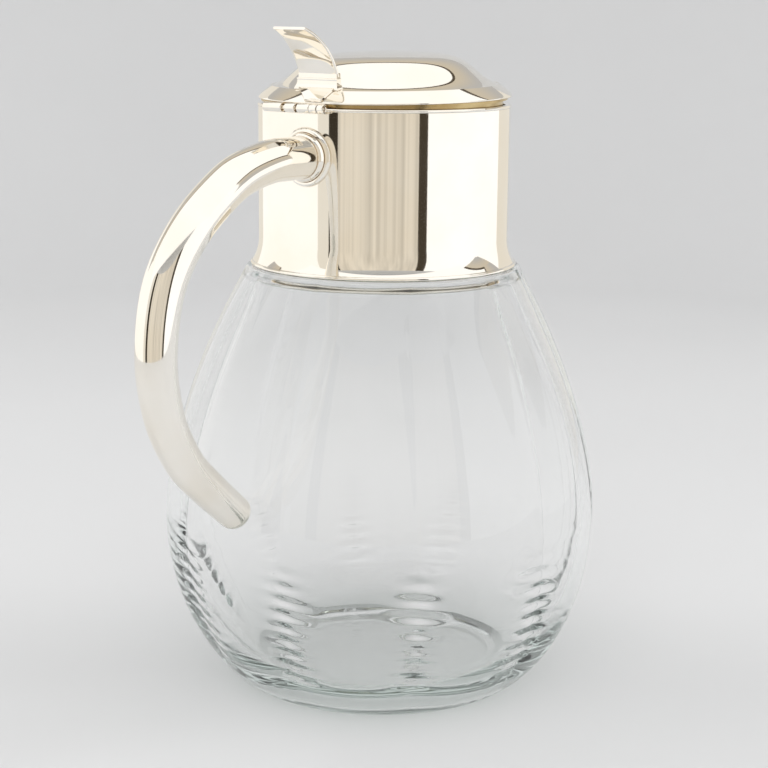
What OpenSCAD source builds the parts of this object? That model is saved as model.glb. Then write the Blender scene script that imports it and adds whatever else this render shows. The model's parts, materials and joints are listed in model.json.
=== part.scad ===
// Silver-mounted lobed glass water pitcher.
// Millimetres. Origin at the centre of the foot, on the table. +Z is up.
// The handle points to -X, the pouring side to +X, and the lid hinge runs along Y.

/* [Glass] */

// Radius of the ground foot
foot_r = 57; // [40:0.5:70]
// Largest radius of the body
body_r = 88.5; // [60:0.5:110]
// Height of the largest radius
body_z = 68; // [40:0.5:110]
// Radius of the shoulder where it meets the collar skirt
shoulder_r = 54.9; // [40:0.1:70]
// Height of the shoulder where it meets the collar skirt
shoulder_z = 169.6; // [120:0.1:220]
// Outer radius of the neck inside the collar
neck_r = 45.6; // [35:0.1:60]
// Height of the glass rim
neck_top = 228; // [180:1:260]
// Thickness of the neck wall
neck_wall = 3.6; // [2:0.1:6]
// Thickness of the body wall at its widest
body_wall = 4.2; // [2.5:0.1:8]
// Thickness of the base
base_t = 6; // [4:0.5:20]
// Radius of the flat inner floor
floor_r = 46; // [20:1:56]
// Number of lobes
lobes = 10; // [6:1:16]
// Depth of the grooves between the lobes
lobe_depth = 2.4; // [0:0.1:6]
// Turn of the lobes about the axis, in degrees
lobe_phase = 10; // [0:1:60]

/* [Collar] */

// Height of the collar's top edge
collar_top = 234; // [190:1:270]
// Outer radius at the top
collar_r = 49.9; // [40:0.1:60]
// Outer radius above the skirt
collar_low_r = 49.9; // [40:0.1:62]
// Outer radius of the skirt's lower edge
skirt_r = 52.4; // [45:0.1:66]
// Height of the flared skirt
skirt_h = 11; // [5:0.5:20]
// Height of the skirt's lower edge above the glass shoulder
skirt_gap = 2.4; // [1.5:0.1:4]
// Thickness of the sheet silver
sheet_t = 0.9; // [0.5:0.1:2]
// Radius of the rolled bead on the skirt
bead_r = 0.9; // [0.4:0.1:2]

/* [Lid] */

// Outer radius of the flange
lid_r = 50.05; // [40:0.05:60]
// How far the lid's centre stands from the jug's axis, away from the hinge
lid_shift = 0.5; // [0:0.1:0.8]
// Height of the flange above the collar's top edge when closed
flange_gap = 1.4; // [1.2:0.1:2.4]
// Radius of the line where the flange meets the dome
dome_line_r = 44.8; // [40:0.1:47]
// Height of that line above the collar's top edge
dome_foot = 5.9; // [4:0.1:8]
// Radius at the middle of the dome's S-shaped side
dome_r = 35.7; // [25:0.1:38]
// How gently the dome's side turns
dome_soft = 3.3; // [1.5:0.1:4]
// Rise of the crown over the dome's shoulder
dome_crown = 4; // [0:0.1:6]
// Height of the dome above the collar's top edge
dome_top = 18.9; // [14:0.1:30]
// How far the lid stands open at rest, in degrees
lid_tilt = 1.3; // [0:0.1:5]

/* [Hinge] */

// Distance of the hinge axis from the jug's axis
hinge_x = 52.3; // [45:0.1:60]
// Radius of the hinge barrel
barrel_r = 1.8; // [1:0.1:3]
// Radius of the hinge pin
pin_r = 0.8; // [0.4:0.05:1.5]
// Radial clearance between the pin and a turning knuckle
pin_fit = 0.05; // [0.01:0.01:0.1]
// Y of the barrel's end nearest the pin head
barrel_y0 = -10.6; // [-25:0.1:0]

/* [Thumbpiece] */

// Width of the blade's top edge
blade_top_w = 15; // [8:0.1:25]
// Width of the box moulding
box_w = 18.8; // [10:0.1:28]
// Distance of the box moulding's outer face from the jug's axis
box_x = 43.1; // [42:0.1:45]
// Thickness of the box moulding
box_t = 2.6; // [1.8:0.1:4]
// Height of the blade's top edge above the collar's top edge
blade_top = 29.5; // [15:0.5:45]
// Lean of the blade from upright at its foot, in degrees
blade_lean = 21.5; // [0:0.5:40]
// Lean of the blade at its top edge, in degrees
blade_lean_top = 69.5; // [45:0.5:85]
// Thickness of the blade
blade_t = 1.3; // [0.8:0.1:3]

/* [Handle] */

// Height of the handle's root
root_z = 215.7; // [180:0.1:240]
// Radius of the tube at the root
tube_r = 8.1; // [5:0.1:12]
// Radius of the tube at the free end
tip_r = 6.6; // [3:0.1:10]
// Wall of the tube
tube_wall = 1.2; // [0.6:0.1:3]
// Radius of the boss
boss_r = 11; // [9:0.1:16]
// Reach of the tube's centre line from the jug's axis
handle_reach = 133.4; // [110:0.1:160]
// Height at which the tube reaches furthest
handle_mid_z = 151; // [110:1:190]
// Distance of the tube's lower end from the jug's axis
tip_x = 93; // [90:0.1:120]
// Height of the tube's lower end
tip_z = 87.2; // [60:0.1:120]

/* [Hidden] */

$fn = 96;
hinge_z = collar_top;
// Knuckle spans along Y, from barrel_y0: collar, lid, collar, lid, collar.
k_end = [0, 2.6];
k_lid_b = [2.9, 6.3];
k_mid = [6.4, 12.1];
k_lid_a = [13.3, 18];
k_far = [19.7, 28.4];
silver = [0.93, 0.89, 0.80];
cement_col = [0.86, 0.84, 0.79];
glass_col = [0.80, 0.92, 0.88, 0.35];

// ---------- helpers ----------

function mix(a, b, t) = a + (b - a) * t;
function step01(t) = let (c = min(1, max(0, t))) c * c * (3 - 2 * c);

// Outer radius of the glass, without lobes, at height z.
function glass_out(z) =
    z <= body_z
    ? foot_r + (body_r - foot_r) * pow(max(0, 1 - pow(1 - z / body_z, 2)), 0.75)
    : z <= shoulder_z
    ? shoulder_r + (body_r - shoulder_r) * (1 - pow((z - body_z) / (shoulder_z - body_z), 1.72))
    : let (t = min(1, (z - shoulder_z) / 8))
        neck_r + (shoulder_r - neck_r) * (1 - sqrt(t * (2 - t)));

// Inner radius of the glass, without lobes, at height z.
function glass_in(z) =
    z <= body_z + 2
    ? floor_r + (body_r - body_wall - floor_r)
        * pow(max(0, 1 - pow(1 - (z - base_t) / (body_z + 2 - base_t), 2)), 0.56)
    : let (t = step01((z - body_z - 2) / (shoulder_z - body_z)), d = mix(body_wall, neck_wall, t))
        max(neck_r - neck_wall, glass_out(z + 3 * t) - d);

// Strength of the lobes at height z: none at the foot or inside the collar.
function lobe_fade(z, z0) = step01((z - z0) / 24) * (1 - step01((z - 142) / 38));

// Share of the groove depth at angle a: 1 in a groove, 0 on the crest of a lobe.
function groove(a, soft) =
    let (s = sin(lobes * (a - lobe_phase) / 2))
        1 - sqrt((s * s + soft * soft) / (1 + soft * soft));

// One ring of points: radius r at height z, with the lobes cut in.
function ring(r, z, depth, soft, n) =
    [for (i = [0 : n - 1]) let (a = 360 * i / n, q = r - depth * groove(a, soft))
        [q * cos(a), q * sin(a), z]];

// Faces that join rings of n points, rings counted upwards.
function skin(n, rings) =
    [for (k = [0 : rings - 2], i = [0 : n - 1])
        [k * n + i, k * n + (i + 1) % n, (k + 1) * n + (i + 1) % n, (k + 1) * n + i]];

function flat(lists) = [for (l = lists, p = l) p];

// Split every four-sided face into two triangles.
function tri(faces) =
    flat([for (f = faces) len(f) == 3 ? [f] : [[f[0], f[1], f[2]], [f[0], f[2], f[3]]]]);

// ---------- glass ----------

module glass_body() {
    n = 120;
    low = [for (i = [0 : 10]) body_z * (1 - cos(9 * i))];
    mid = [for (i = [1 : 9]) mix(body_z, shoulder_z, i / 9)];
    top = [for (d = [0.4, 1.6, 4.2, 8]) shoulder_z + d];
    out_z = concat(low, mid, top, [neck_top]);
    in_low = [for (i = [0 : 8]) base_t + (body_z + 2 - base_t) * (1 - cos(90 * i / 8))];
    in_mid = [for (i = [1 : 9]) mix(body_z + 2, shoulder_z, i / 9)];
    in_z = concat(in_low, in_mid, top, [neck_top]);
    outer = [for (z = out_z) ring(glass_out(z), z, lobe_depth * lobe_fade(z, 1), 0.12, n)];
    inner = [for (z = in_z) ring(glass_in(z), z, lobe_depth * lobe_fade(z, base_t), 0.3, n)];
    rings = concat(outer, [for (i = [len(inner) - 1 : -1 : 0]) inner[i]]);
    count = len(rings);
    last = count * n;
    caps = concat(
        [for (i = [0 : n - 1]) [last, (i + 1) % n, i]],
        [for (i = [0 : n - 1]) [last + 1, (count - 1) * n + i, (count - 1) * n + (i + 1) % n]]
    );
    color(glass_col)
        polyhedron(
            points = concat(flat(rings), [[0, 0, 0], [0, 0, base_t]]),
            faces = [for (f = concat(tri(skin(n, count)), caps)) [f[2], f[1], f[0]]],
            convexity = 6
        );
}

// Plaster that bonds the neck into the collar.
module neck_cement() {
    z0 = skirt_z + 1;
    color(cement_col)
        rotate_extrude()
            polygon([[neck_r + 0.02, z0], [collar_low_r - sheet_t - 0.05, z0],
                [collar_r - sheet_t, neck_top - 2], [neck_r + 0.02, neck_top - 2]]);
}

// ---------- collar ----------

// Outer edge of the collar and its skirt, from the top down.
skirt_foot = shoulder_z + skirt_gap;
skirt_z = skirt_foot + skirt_h - 1;
skirt_line = [for (i = [0 : 10]) let (t = i / 10)
    [mix(collar_low_r, skirt_r, pow(t, 2.4)), mix(skirt_z, skirt_foot, t)]];
collar_line = concat([[collar_r, collar_top - 1.2]], skirt_line);

module collar() {
    color(silver)
        rotate_extrude()
            polygon(concat(collar_line,
                [for (i = [len(collar_line) - 1 : -1 : 0]) collar_line[i] - [sheet_t, 0]]));
}

// Turned rim that the lid closes over.
module collar_rim() {
    color(silver)
        rotate_extrude()
            polygon([[collar_r - 2.2, collar_top - 1.2], [collar_r + 0.1, collar_top - 1.2],
                [collar_r + 0.25, collar_top - 0.8], [collar_r + 0.25, collar_top - 0.3],
                [collar_r, collar_top], [collar_r - 1.9, collar_top],
                [collar_r - 2.2, collar_top - 0.3]]);
}

// Rolled bead on the lower edge of the skirt.
module skirt_bead() {
    color(silver)
        rotate_extrude()
            translate([skirt_r - 0.1, skirt_foot - bead_r])
                circle(r = bead_r, $fn = 24);
}

// ---------- hinge ----------

// A length of barrel along Y between two offsets from barrel_y0, bored for the pin.
module knuckle(span, bore) {
    translate([-hinge_x, barrel_y0 + span[0], hinge_z])
        rotate([-90, 0, 0])
            difference() {
                cylinder(r = barrel_r, h = span[1] - span[0], $fn = 48);
                translate([0, 0, -1])
                    cylinder(r = bore, h = span[1] - span[0] + 2, $fn = 48);
            }
}

// Cuts room for the barrel out of a leaf: close to its own knuckles, clear of the others.
module barrel_cut(own, others) {
    for (span = own)
        knuckle_space(span, barrel_r + 0.02);
    for (span = others)
        knuckle_space(span, barrel_r + 0.35);
}

module knuckle_space(span, r) {
    translate([-hinge_x, barrel_y0 + span[0] - 0.35, hinge_z])
        rotate([-90, 0, 0])
            cylinder(r = r, h = span[1] - span[0] + 0.7, $fn = 48);
}

// Leaf that fills the space between the straight barrel and the round collar.
module hinge_plate() {
    color(silver)
        difference() {
            translate([-hinge_x + 0.1, barrel_y0, hinge_z - 1.75])
                cube([7, k_far[1], 1.2]);
            translate([0, 0, hinge_z - 20])
                cylinder(r = collar_r + 0.27, h = 40, $fn = 192);
            translate([-hinge_x, barrel_y0 - 1, hinge_z])
                rotate([-90, 0, 0])
                    cylinder(r = barrel_r + 0.02, h = k_far[1] + 2, $fn = 48);
            barrel_cut([], [k_lid_a, k_lid_b]);
        }
}

module collar_knuckles() {
    color(silver)
        for (span = [k_end, k_mid, k_far])
            knuckle(span, pin_r);
}

module hinge_pin() {
    color(silver)
        translate([-hinge_x, barrel_y0 + 0.4, hinge_z])
            rotate([-90, 0, 0])
                cylinder(r = pin_r, h = k_far[1] - 0.8, $fn = 48);
}

// ---------- handle ----------

// Washer that fits the round of the collar.
module handle_boss() {
    color(silver)
        difference() {
            translate([-collar_low_r - 1.6, 0, root_z])
                rotate([0, 90, 0])
                    cylinder(r1 = boss_r - 0.7, r2 = boss_r, h = 5);
            cylinder(r = collar_low_r, h = 300, $fn = 192);
        }
}

// Raised ring between the boss and the tube.
module handle_ferrule() {
    color(silver)
        translate([-collar_low_r - 3.4, 0, root_z])
            rotate([0, 90, 0])
                cylinder(r1 = tube_r + 0.5, r2 = tube_r + 0.9, h = 1.8);
}

// Centre line of the handle in the XZ plane: a straight root, a large bow and a long
// run back towards the body, as points on a smooth curve.
root_x = collar_low_r + 3.42;
path_keys = [
    [root_x, root_z], [root_x + 9, root_z], [root_x + 19, root_z - 0.4],
    [mix(root_x, handle_reach, 0.42), root_z - 3.6],
    [mix(root_x, handle_reach, 0.56), root_z - 8.9],
    [mix(root_x, handle_reach, 0.75), root_z - 19.6],
    [mix(root_x, handle_reach, 0.9), root_z - 33.4],
    [handle_reach - 2.2, handle_mid_z + 17.5],
    [handle_reach, handle_mid_z],
    [handle_reach - 1.8, handle_mid_z - 14.4],
    [handle_reach - 6.2, handle_mid_z - 27.4],
    [mix(tip_x, handle_reach, 0.64), tip_z + 23.2],
    [mix(tip_x, handle_reach, 0.43), tip_z + 14.9],
    [mix(tip_x, handle_reach, 0.2), tip_z + 6.8],
    [tip_x, tip_z]
];
function key(i) = path_keys[min(len(path_keys) - 1, max(0, i))];
// Point on the curve through the keys; u counts keys.
function path_at(u) =
    let (i = min(len(path_keys) - 2, floor(u)), t = u - i,
        a = key(i - 1), b = key(i), c = key(i + 1), d = key(i + 2))
        0.5 * (2 * b + (c - a) * t + (2 * a - 5 * b + 4 * c - d) * t * t
            + (3 * b - a - 3 * c + d) * t * t * t);
function path_dir(u) =
    let (v = path_at(min(u + 0.05, len(path_keys) - 1)) - path_at(max(0, u - 0.05)))
        v / norm(v);
path_last = len(path_keys) - 1;
function tube_radius(u) =
    let (t = u / path_last) mix(tube_r, tip_r, step01(t) * 0.55 + pow(t, 4) * 0.45);

// Ring of m points round the centre line at u, with radius r.
function tube_ring(u, r, m) =
    let (p = path_at(u), d = path_dir(u))
        [for (i = [0 : m - 1]) let (a = 360 * i / m)
            [-(p[0] + r * cos(a) * d[1]), r * sin(a), p[1] - r * cos(a) * d[0]]];

module handle_tube() {
    m = 36;
    s = 56;
    us = [for (i = [0 : s]) path_last * i / s];
    outer = [for (u = us) tube_ring(u, tube_radius(u), m)];
    inner = [for (i = [s : -1 : 0]) tube_ring(us[i], tube_radius(us[i]) - tube_wall, m)];
    rings = concat(outer, inner, [outer[0]]);
    count = 2 * (s + 1);
    faces = [for (k = [0 : count - 1], i = [0 : m - 1]) let (j = (i + 1) % m, l = (k + 1) % count)
        [k * m + i, k * m + j, l * m + j, l * m + i]];
    color(silver)
        polyhedron(points = flat(concat(outer, inner)), faces = tri(faces), convexity = 8);
}

// Rounded end that closes the tube.
module handle_tip() {
    d = path_dir(path_last);
    color(silver)
        translate([-tip_x, 0, tip_z])
            rotate([0, atan2(-d[0], d[1]), 0])
                rotate_extrude($fn = 48)
                    polygon(concat([[0, 0]],
                        [for (i = [0 : 12]) let (a = 90 * i / 12) [tip_r * cos(a), 5.2 * sin(a)]]));
}

// ---------- lid ----------

// Turns a piece of the lid, drawn closed, to where it stands at rest.
module lid_pose() {
    translate([-hinge_x, 0, hinge_z])
        rotate([0, -lid_tilt, 0])
            translate([hinge_x, 0, -hinge_z])
                children();
}

// Height of the dome over the collar's top edge at radius r: an S-shaped side and a low crown.
dome_low = dome_foot - 0.45;
function dome_z(r) =
    dome_low + (dome_top - dome_low - dome_crown) / (1 + exp((r - dome_r) / dome_soft))
        + dome_crown * (1 - pow(r / dome_line_r, 2));

// Outside of the lid from the flange's edge to the crown, above the collar's top edge.
lip_t = 0.45;
lid_line = concat(
    [[lid_r, flange_gap], [lid_r, flange_gap + lip_t]],
    [for (i = [1 : 7]) let (u = i / 7)
        [mix(lid_r, dome_line_r, u), mix(flange_gap + lip_t, dome_foot + 0.25, pow(u, 0.8))]],
    [for (i = [0 : 24]) let (r = (dome_line_r - 0.1) * cos(90 * i / 24)) [r, dome_z(r)]]
);

module lid_shell() {
    inner = [for (i = [len(lid_line) - 1 : -1 : 2])
        [max(0, lid_line[i][0] - 0.6), lid_line[i][1] - 0.95]];
    color(silver)
        lid_pose()
            translate([lid_shift, 0, collar_top])
                rotate_extrude($fn = 192)
                    polygon(concat(lid_line, inner, [[lid_r - 2.4, flange_gap]]));
}

// Ring under the flange: it rests on the rim and drops into the collar.
bezel_r = collar_r - 1.2;
module lid_bezel() {
    r_in = collar_r - 2.2 - 0.9;
    color(silver)
        lid_pose()
            translate([0, 0, collar_top])
                rotate_extrude($fn = 192)
                    polygon([[r_in - 1, flange_gap + 1.3], [r_in - 1, -4], [r_in, -4], [r_in, 0.3],
                        [bezel_r, 0.3], [bezel_r, flange_gap - 0.02],
                        [r_in + 0.1, flange_gap - 0.02]]);
}

// Small leaf that ties the lid's knuckles to the flange.
module lid_leaf() {
    y0 = barrel_y0 + k_lid_b[0];
    color(silver)
        lid_pose()
            difference() {
                translate([-hinge_x, y0, collar_top + pin_r + 0.12])
                    cube([5.4, k_lid_a[1] - k_lid_b[0], flange_gap - pin_r - 0.17]);
                translate([0, 0, collar_top])
                    cylinder(r = bezel_r + 0.03, h = 10, $fn = 192);
                barrel_cut([k_lid_a, k_lid_b], [k_mid]);
            }
}

module lid_knuckles() {
    color(silver)
        lid_pose()
            for (span = [k_lid_b, k_lid_a])
                knuckle(span, pin_r + pin_fit);
}

// ---------- thumbpiece ----------

box_z0 = collar_top + 6.4;
box_z1 = collar_top + 10.6;
neck_z1 = collar_top + 12.6;

// Plate that lies on the flange and widens from the hinge up to the box moulding.
plate_t = 1;
plate_z0 = collar_top + barrel_r + 0.4;
module thumb_bracket() {
    color(silver)
        lid_pose()
            difference() {
                intersection() {
                    rotate([90, 0, 90])
                        translate([0, 0, -hinge_x - 2])
                            linear_extrude(height = 12)
                                polygon([[-6.4, plate_z0], [0.9, plate_z0],
                                    [5.2, plate_z0 + 2.2], [8.4, box_z0 + 1],
                                    [-8.4, box_z0 + 1], [-7.9, plate_z0 + 2.2]]);
                    lid_solid(plate_t);
                }
                lid_solid(0.03);
                translate([-box_x, -box_w, box_z0])
                    cube([20, 2 * box_w, 10]);
            }
}

// The lid's outside, grown a little, as a solid for fitting pieces against it.
module lid_solid(grow) {
    translate([lid_shift, 0, collar_top])
        rotate_extrude($fn = 192)
            polygon(concat([[0, 0], [lid_r + grow, 0]],
                [for (p = lid_line) [p[0] <= 0 ? 0 : p[0] + grow, p[1] + grow]]));
}

// Box moulding and the narrower band above it.
module thumb_moulding() {
    color(silver)
        lid_pose()
            difference() {
                union() {
                    translate([-box_x, -box_w / 2, box_z0])
                        cube([box_t, box_w, box_z1 - box_z0]);
                    translate([-box_x + 0.4, -box_w / 2 + 0.3, box_z1])
                        cube([box_t - 0.8, box_w - 0.6, neck_z1 - box_z1]);
                }
                lid_solid(0.03);
            }
}

// Blade: an arc that rises from the moulding and leans out to a straight top edge.
module thumb_blade() {
    n = 14;
    arc_r = (blade_top + collar_top - neck_z1) / (sin(blade_lean_top) - sin(blade_lean));
    line = [for (i = [0 : n]) let (lean = mix(blade_lean, blade_lean_top, i / n))
        [-box_x + 0.5 - arc_r * (cos(blade_lean) - cos(lean)),
            neck_z1 + arc_r * (sin(lean) - sin(blade_lean))]];
    half = [for (i = [0 : n]) mix(box_w / 2 - 0.2, blade_top_w / 2, pow(i / n, 2))];
    function nrm(i) =
        let (a = line[max(0, i - 1)], b = line[min(n, i + 1)], v = (b - a) / norm(b - a))
            [v[1], -v[0]];
    points = flat([for (i = [0 : n]) let (p = line[i], q = p + blade_t * mix(1, 0.8, i / n) * nrm(i))
        [[p[0], -half[i], p[1]], [p[0], half[i], p[1]],
            [q[0], half[i], i == 0 ? p[1] : q[1]], [q[0], -half[i], i == 0 ? p[1] : q[1]]]]);
    faces = concat([[3, 2, 1, 0]], [[4 * n, 4 * n + 1, 4 * n + 2, 4 * n + 3]], skin(4, n + 1));
    color(silver)
        lid_pose()
            polyhedron(points = points, faces = tri([for (f = faces) [f[3], f[2], f[1], f[0]]]),
                convexity = 4);
}

glass_body();
neck_cement();
collar();
collar_rim();
skirt_bead();
hinge_plate();
collar_knuckles();
hinge_pin();
handle_boss();
handle_ferrule();
handle_tube();
handle_tip();
lid_shell();
lid_bezel();
lid_leaf();
lid_knuckles();
thumb_bracket();
thumb_moulding();
thumb_blade();
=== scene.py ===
import json
import math

import bpy
import numpy as np
from mathutils import Matrix, Vector


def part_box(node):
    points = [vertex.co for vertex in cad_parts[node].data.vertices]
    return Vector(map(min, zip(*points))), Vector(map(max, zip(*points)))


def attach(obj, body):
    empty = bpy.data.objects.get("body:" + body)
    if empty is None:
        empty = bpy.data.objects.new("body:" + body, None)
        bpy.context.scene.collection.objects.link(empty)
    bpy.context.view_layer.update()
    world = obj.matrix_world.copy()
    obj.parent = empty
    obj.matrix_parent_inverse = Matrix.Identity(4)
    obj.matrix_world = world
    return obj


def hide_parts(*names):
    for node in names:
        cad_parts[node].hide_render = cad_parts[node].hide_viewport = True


# Silver-mounted lobed glass pitcher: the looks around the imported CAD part.
# Metres. The handle points to -X, the hinge runs along Y, +Z is up.

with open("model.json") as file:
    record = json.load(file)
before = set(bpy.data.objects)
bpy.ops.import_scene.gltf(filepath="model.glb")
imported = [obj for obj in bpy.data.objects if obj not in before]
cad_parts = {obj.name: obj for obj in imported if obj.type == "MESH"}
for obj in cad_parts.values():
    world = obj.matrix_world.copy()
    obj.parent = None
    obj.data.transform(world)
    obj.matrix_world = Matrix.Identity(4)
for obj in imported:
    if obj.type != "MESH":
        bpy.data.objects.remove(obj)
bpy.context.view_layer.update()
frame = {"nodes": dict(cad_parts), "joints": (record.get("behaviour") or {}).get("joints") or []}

MM = 0.001
TAU = 2 * math.pi

# ---------- sizes taken from the frame ----------


def low(node, axis):
    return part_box(node)[0][axis]


def high(node, axis):
    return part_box(node)[1][axis]


HINGE = Vector(frame["joints"][0]["pos_m"])
COLLAR_TOP = high("collar_rim", 2)
COLLAR_R = high("collar_rim", 1) - 0.25 * MM
SKIRT_BOTTOM = low("skirt_bead", 2)
SHOULDER_Z = low("collar", 2) - 2.4 * MM

# ---------- sizes shared with the CAD source ----------

# Outside of the glass: foot, belly, shoulder and neck, and how full its curves are.
FOOT_R = 57 * MM
BODY_R = 88.5 * MM
BODY_Z = 68 * MM
SHOULDER_R = 54.9 * MM
NECK_R = 45.6 * MM
NECK_TOP = 228 * MM
NECK_TURN = 8 * MM
FOOT_BOW = 0.75
SHOULDER_BOW = 1.72

# Inside of the glass: the floor, the walls and where the floor's curve ends.
BASE_T = 6 * MM
FLOOR_R = 46 * MM
FLOOR_BOW = 0.56
BODY_WALL = 4.2 * MM
NECK_WALL = 3.6 * MM
INNER_TURN_Z = BODY_Z + 2 * MM
SHOULDER_EXTRA = 3 * MM

# Lobes: their number, depth, turn in degrees, and the height over which they fade in.
LOBES = 10
LOBE_DEPTH = 2.4 * MM
LOBE_PHASE = 10
LOBE_RISE = 24 * MM

# Collar and its flared skirt.
COLLAR_LOW_R = 49.9 * MM
SKIRT_R = 52.4 * MM
SKIRT_H = 11 * MM
SKIRT_BOW = 2.4
SHEET_T = 0.9 * MM
BEAD_R = 0.9 * MM

# Lid: heights are over the collar's top edge.
LID_R = 50.05 * MM
LID_SHIFT = 0.5 * MM
LID_TILT = math.radians(1.3)
FLANGE_GAP = 1.4 * MM
LIP_T = 0.45 * MM
DOME_LINE_R = 44.8 * MM
DOME_FOOT = 5.9 * MM
DOME_LOW = DOME_FOOT - 0.45 * MM
DOME_R = 35.7 * MM
DOME_SOFT = 3.3 * MM
DOME_CROWN = 4 * MM
DOME_TOP = 18.9 * MM

# Hinge: the knuckles' ends are in mm along the barrel.
BARREL_R = 1.8 * MM
PIN_R = 0.8 * MM
PIN_FIT = 0.05 * MM
BARREL_Y0 = -10.6 * MM
KNUCKLES = {"k_end": (0, 2.6), "k_lid_b": (2.9, 6.3), "k_mid": (6.4, 12.1),
            "k_lid_a": (13.3, 18), "k_far": (19.7, 28.4)}

# Thumbpiece: the box moulding, the plate under it (its sides at the foot, in mm) and the blade.
BOX_W = 18.8 * MM
BOX_X = 43.1 * MM
BOX_T = 2.6 * MM
BOX_Z0 = 6.4 * MM
BAND_Z1 = 12.6 * MM
PLATE_T = 1 * MM
PLATE_Z0 = BARREL_R + 0.4 * MM
PLATE_FOOT_Y = (-6.4, 0.9)
BLADE_TOP = 29.5 * MM
BLADE_TOP_W = 15 * MM
BLADE_LEAN = math.radians(21.5)
BLADE_LEAN_TOP = math.radians(69.5)
BLADE_T = 1.3 * MM

# Handle: its centre line runs through these (reach towards the handle, height) points, in mm.
ROOT_Z = 215.7 * MM
TUBE_R = 8.1 * MM
TIP_R = 6.6 * MM
TIP_LENGTH = 5.2 * MM
BOSS_R = 11 * MM
HANDLE_PATH = [(53.3, 215.7), (62.3, 215.7), (72.3, 215.3), (87, 212.1), (98.2, 206.8),
               (113.4, 196.1), (125.4, 182.3), (131.2, 168.5), (133.4, 151), (131.6, 136.6),
               (127.2, 123.6), (118.9, 110.4), (110.4, 102.1), (101.1, 94), (93, 87.2)]

# ---------- sizes of the looks alone, absent from the CAD source or different there ----------

# Glass: points in a ring, how soft the grooves are outside and inside (0.12 and 0.3 in the CAD
# source), where the lobes fade out (from 142 mm over 38 mm there), the lip and the tool marks.
GLASS_SIDES = 480
OUTER_SOFT = 0.05
INNER_SOFT = 0.45
LOBE_END_Z = 148 * MM
LOBE_END_H = 34 * MM
NECK_LIP = 1.2 * MM
RIPPLE_DEPTH = 0.9 * MM
RIPPLE_PITCH = 5.5 * MM
# Sides of the plate at the moulding, in mm (8.4 in the CAD source), the hollow across the
# blade, and the radius beyond which the lid's underside gets dark gold painted shade and reflection.
PLATE_TOP_Y = (-8.6, 8.6)
BLADE_CUP = 0.7 * MM
RECESS_R = 44 * MM


def mix(a, b, t):
    """The value a share t of the way from a to b."""
    return a + (b - a) * t


def step01(t):
    """A smooth step from 0 to 1 as t goes from 0 to 1."""
    c = np.clip(t, 0, 1)
    return c * c * (3 - 2 * c)


# ---------- mesh helpers ----------


def make_object(name, verts, faces, material, sharp_deg=None):
    """A smooth-shaded mesh object; edges that bend more than sharp_deg stay crisp."""
    mesh = bpy.data.meshes.new(name)
    mesh.from_pydata([tuple(v) for v in verts], [], [tuple(f) for f in faces])
    mesh.update()
    mesh.shade_smooth()
    if sharp_deg is not None:
        mesh.set_sharp_from_angle(angle=math.radians(sharp_deg))
    obj = bpy.data.objects.new(name, mesh)
    bpy.context.scene.collection.objects.link(obj)
    if material is not None:
        mesh.materials.append(material)
    return obj


def fillet(points, radius, steps=4):
    """The closed outline with every corner rounded to at most radius."""
    out = []
    count = len(points)
    for i, corner in enumerate(points):
        p = np.array(corner, float)
        before = np.array(points[i - 1], float) - p
        after = np.array(points[(i + 1) % count], float) - p
        len_a, len_b = np.linalg.norm(before), np.linalg.norm(after)
        if min(len_a, len_b) < 1e-9:
            continue
        before, after = before / len_a, after / len_b
        half = 0.5 * math.acos(float(np.clip(before @ after, -1, 1)))
        if half > math.radians(80):
            out.append(tuple(p))
            continue
        reach = min(radius / math.tan(half), 0.45 * len_a, 0.45 * len_b)
        start, end = p + before * reach, p + after * reach
        for k in range(steps + 1):
            t = k / steps
            curve = (1 - t) ** 2 * start + 2 * t * (1 - t) * p + t ** 2 * end
            out.append(tuple(curve))
    return out


def lathe(name, outline, material, segments=256, wobble=0.0, seed=0, sharp_deg=None):
    """Turns a closed (r, z) outline about the Z axis. wobble is the height of slow dents."""
    phase = np.random.default_rng(seed).uniform(0, TAU, 6)
    verts, faces = [], []
    count = len(outline)
    on_axis = [r < 1e-7 for r, _ in outline]
    index = []
    for (r, z), axis in zip(outline, on_axis):
        if axis:
            index.append([len(verts)] * segments)
            verts.append((0, 0, z))
            continue
        start = len(verts)
        index.append(list(range(start, start + segments)))
        for j in range(segments):
            a = TAU * j / segments
            dent = (math.sin(3 * a + 55 * z + phase[0]) + math.sin(5 * a - 90 * z + phase[1])
                    + 0.7 * math.sin(8 * a + 140 * z + phase[2]) + 0.5 * math.sin(13 * a + phase[3]))
            q = r + wobble * dent
            verts.append((q * math.cos(a), q * math.sin(a), z))
    for i in range(count):
        k = (i + 1) % count
        if on_axis[i] and on_axis[k]:
            continue
        for j in range(segments):
            m = (j + 1) % segments
            corners = (index[i][j], index[i][m], index[k][m], index[k][j])
            faces.append(tuple(dict.fromkeys(corners)))
    return make_object(name, verts, faces, material, sharp_deg)


def loft(name, rings, material, cap_start=True, cap_end=True, sharp_deg=None):
    """Joins rings of the same number of points, with flat fans at the ends."""
    n = len(rings[0])
    verts = [p for ring in rings for p in ring]
    faces = [(k * n + i, k * n + (i + 1) % n, (k + 1) * n + (i + 1) % n, (k + 1) * n + i)
             for k in range(len(rings) - 1) for i in range(n)]
    if cap_start:
        verts.append(np.mean(np.array(rings[0]), axis=0))
        faces += [(len(verts) - 1, (i + 1) % n, i) for i in range(n)]
    if cap_end:
        base = (len(rings) - 1) * n
        verts.append(np.mean(np.array(rings[-1]), axis=0))
        faces += [(len(verts) - 1, base + i, base + (i + 1) % n) for i in range(n)]
    return make_object(name, verts, faces, material, sharp_deg)


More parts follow.
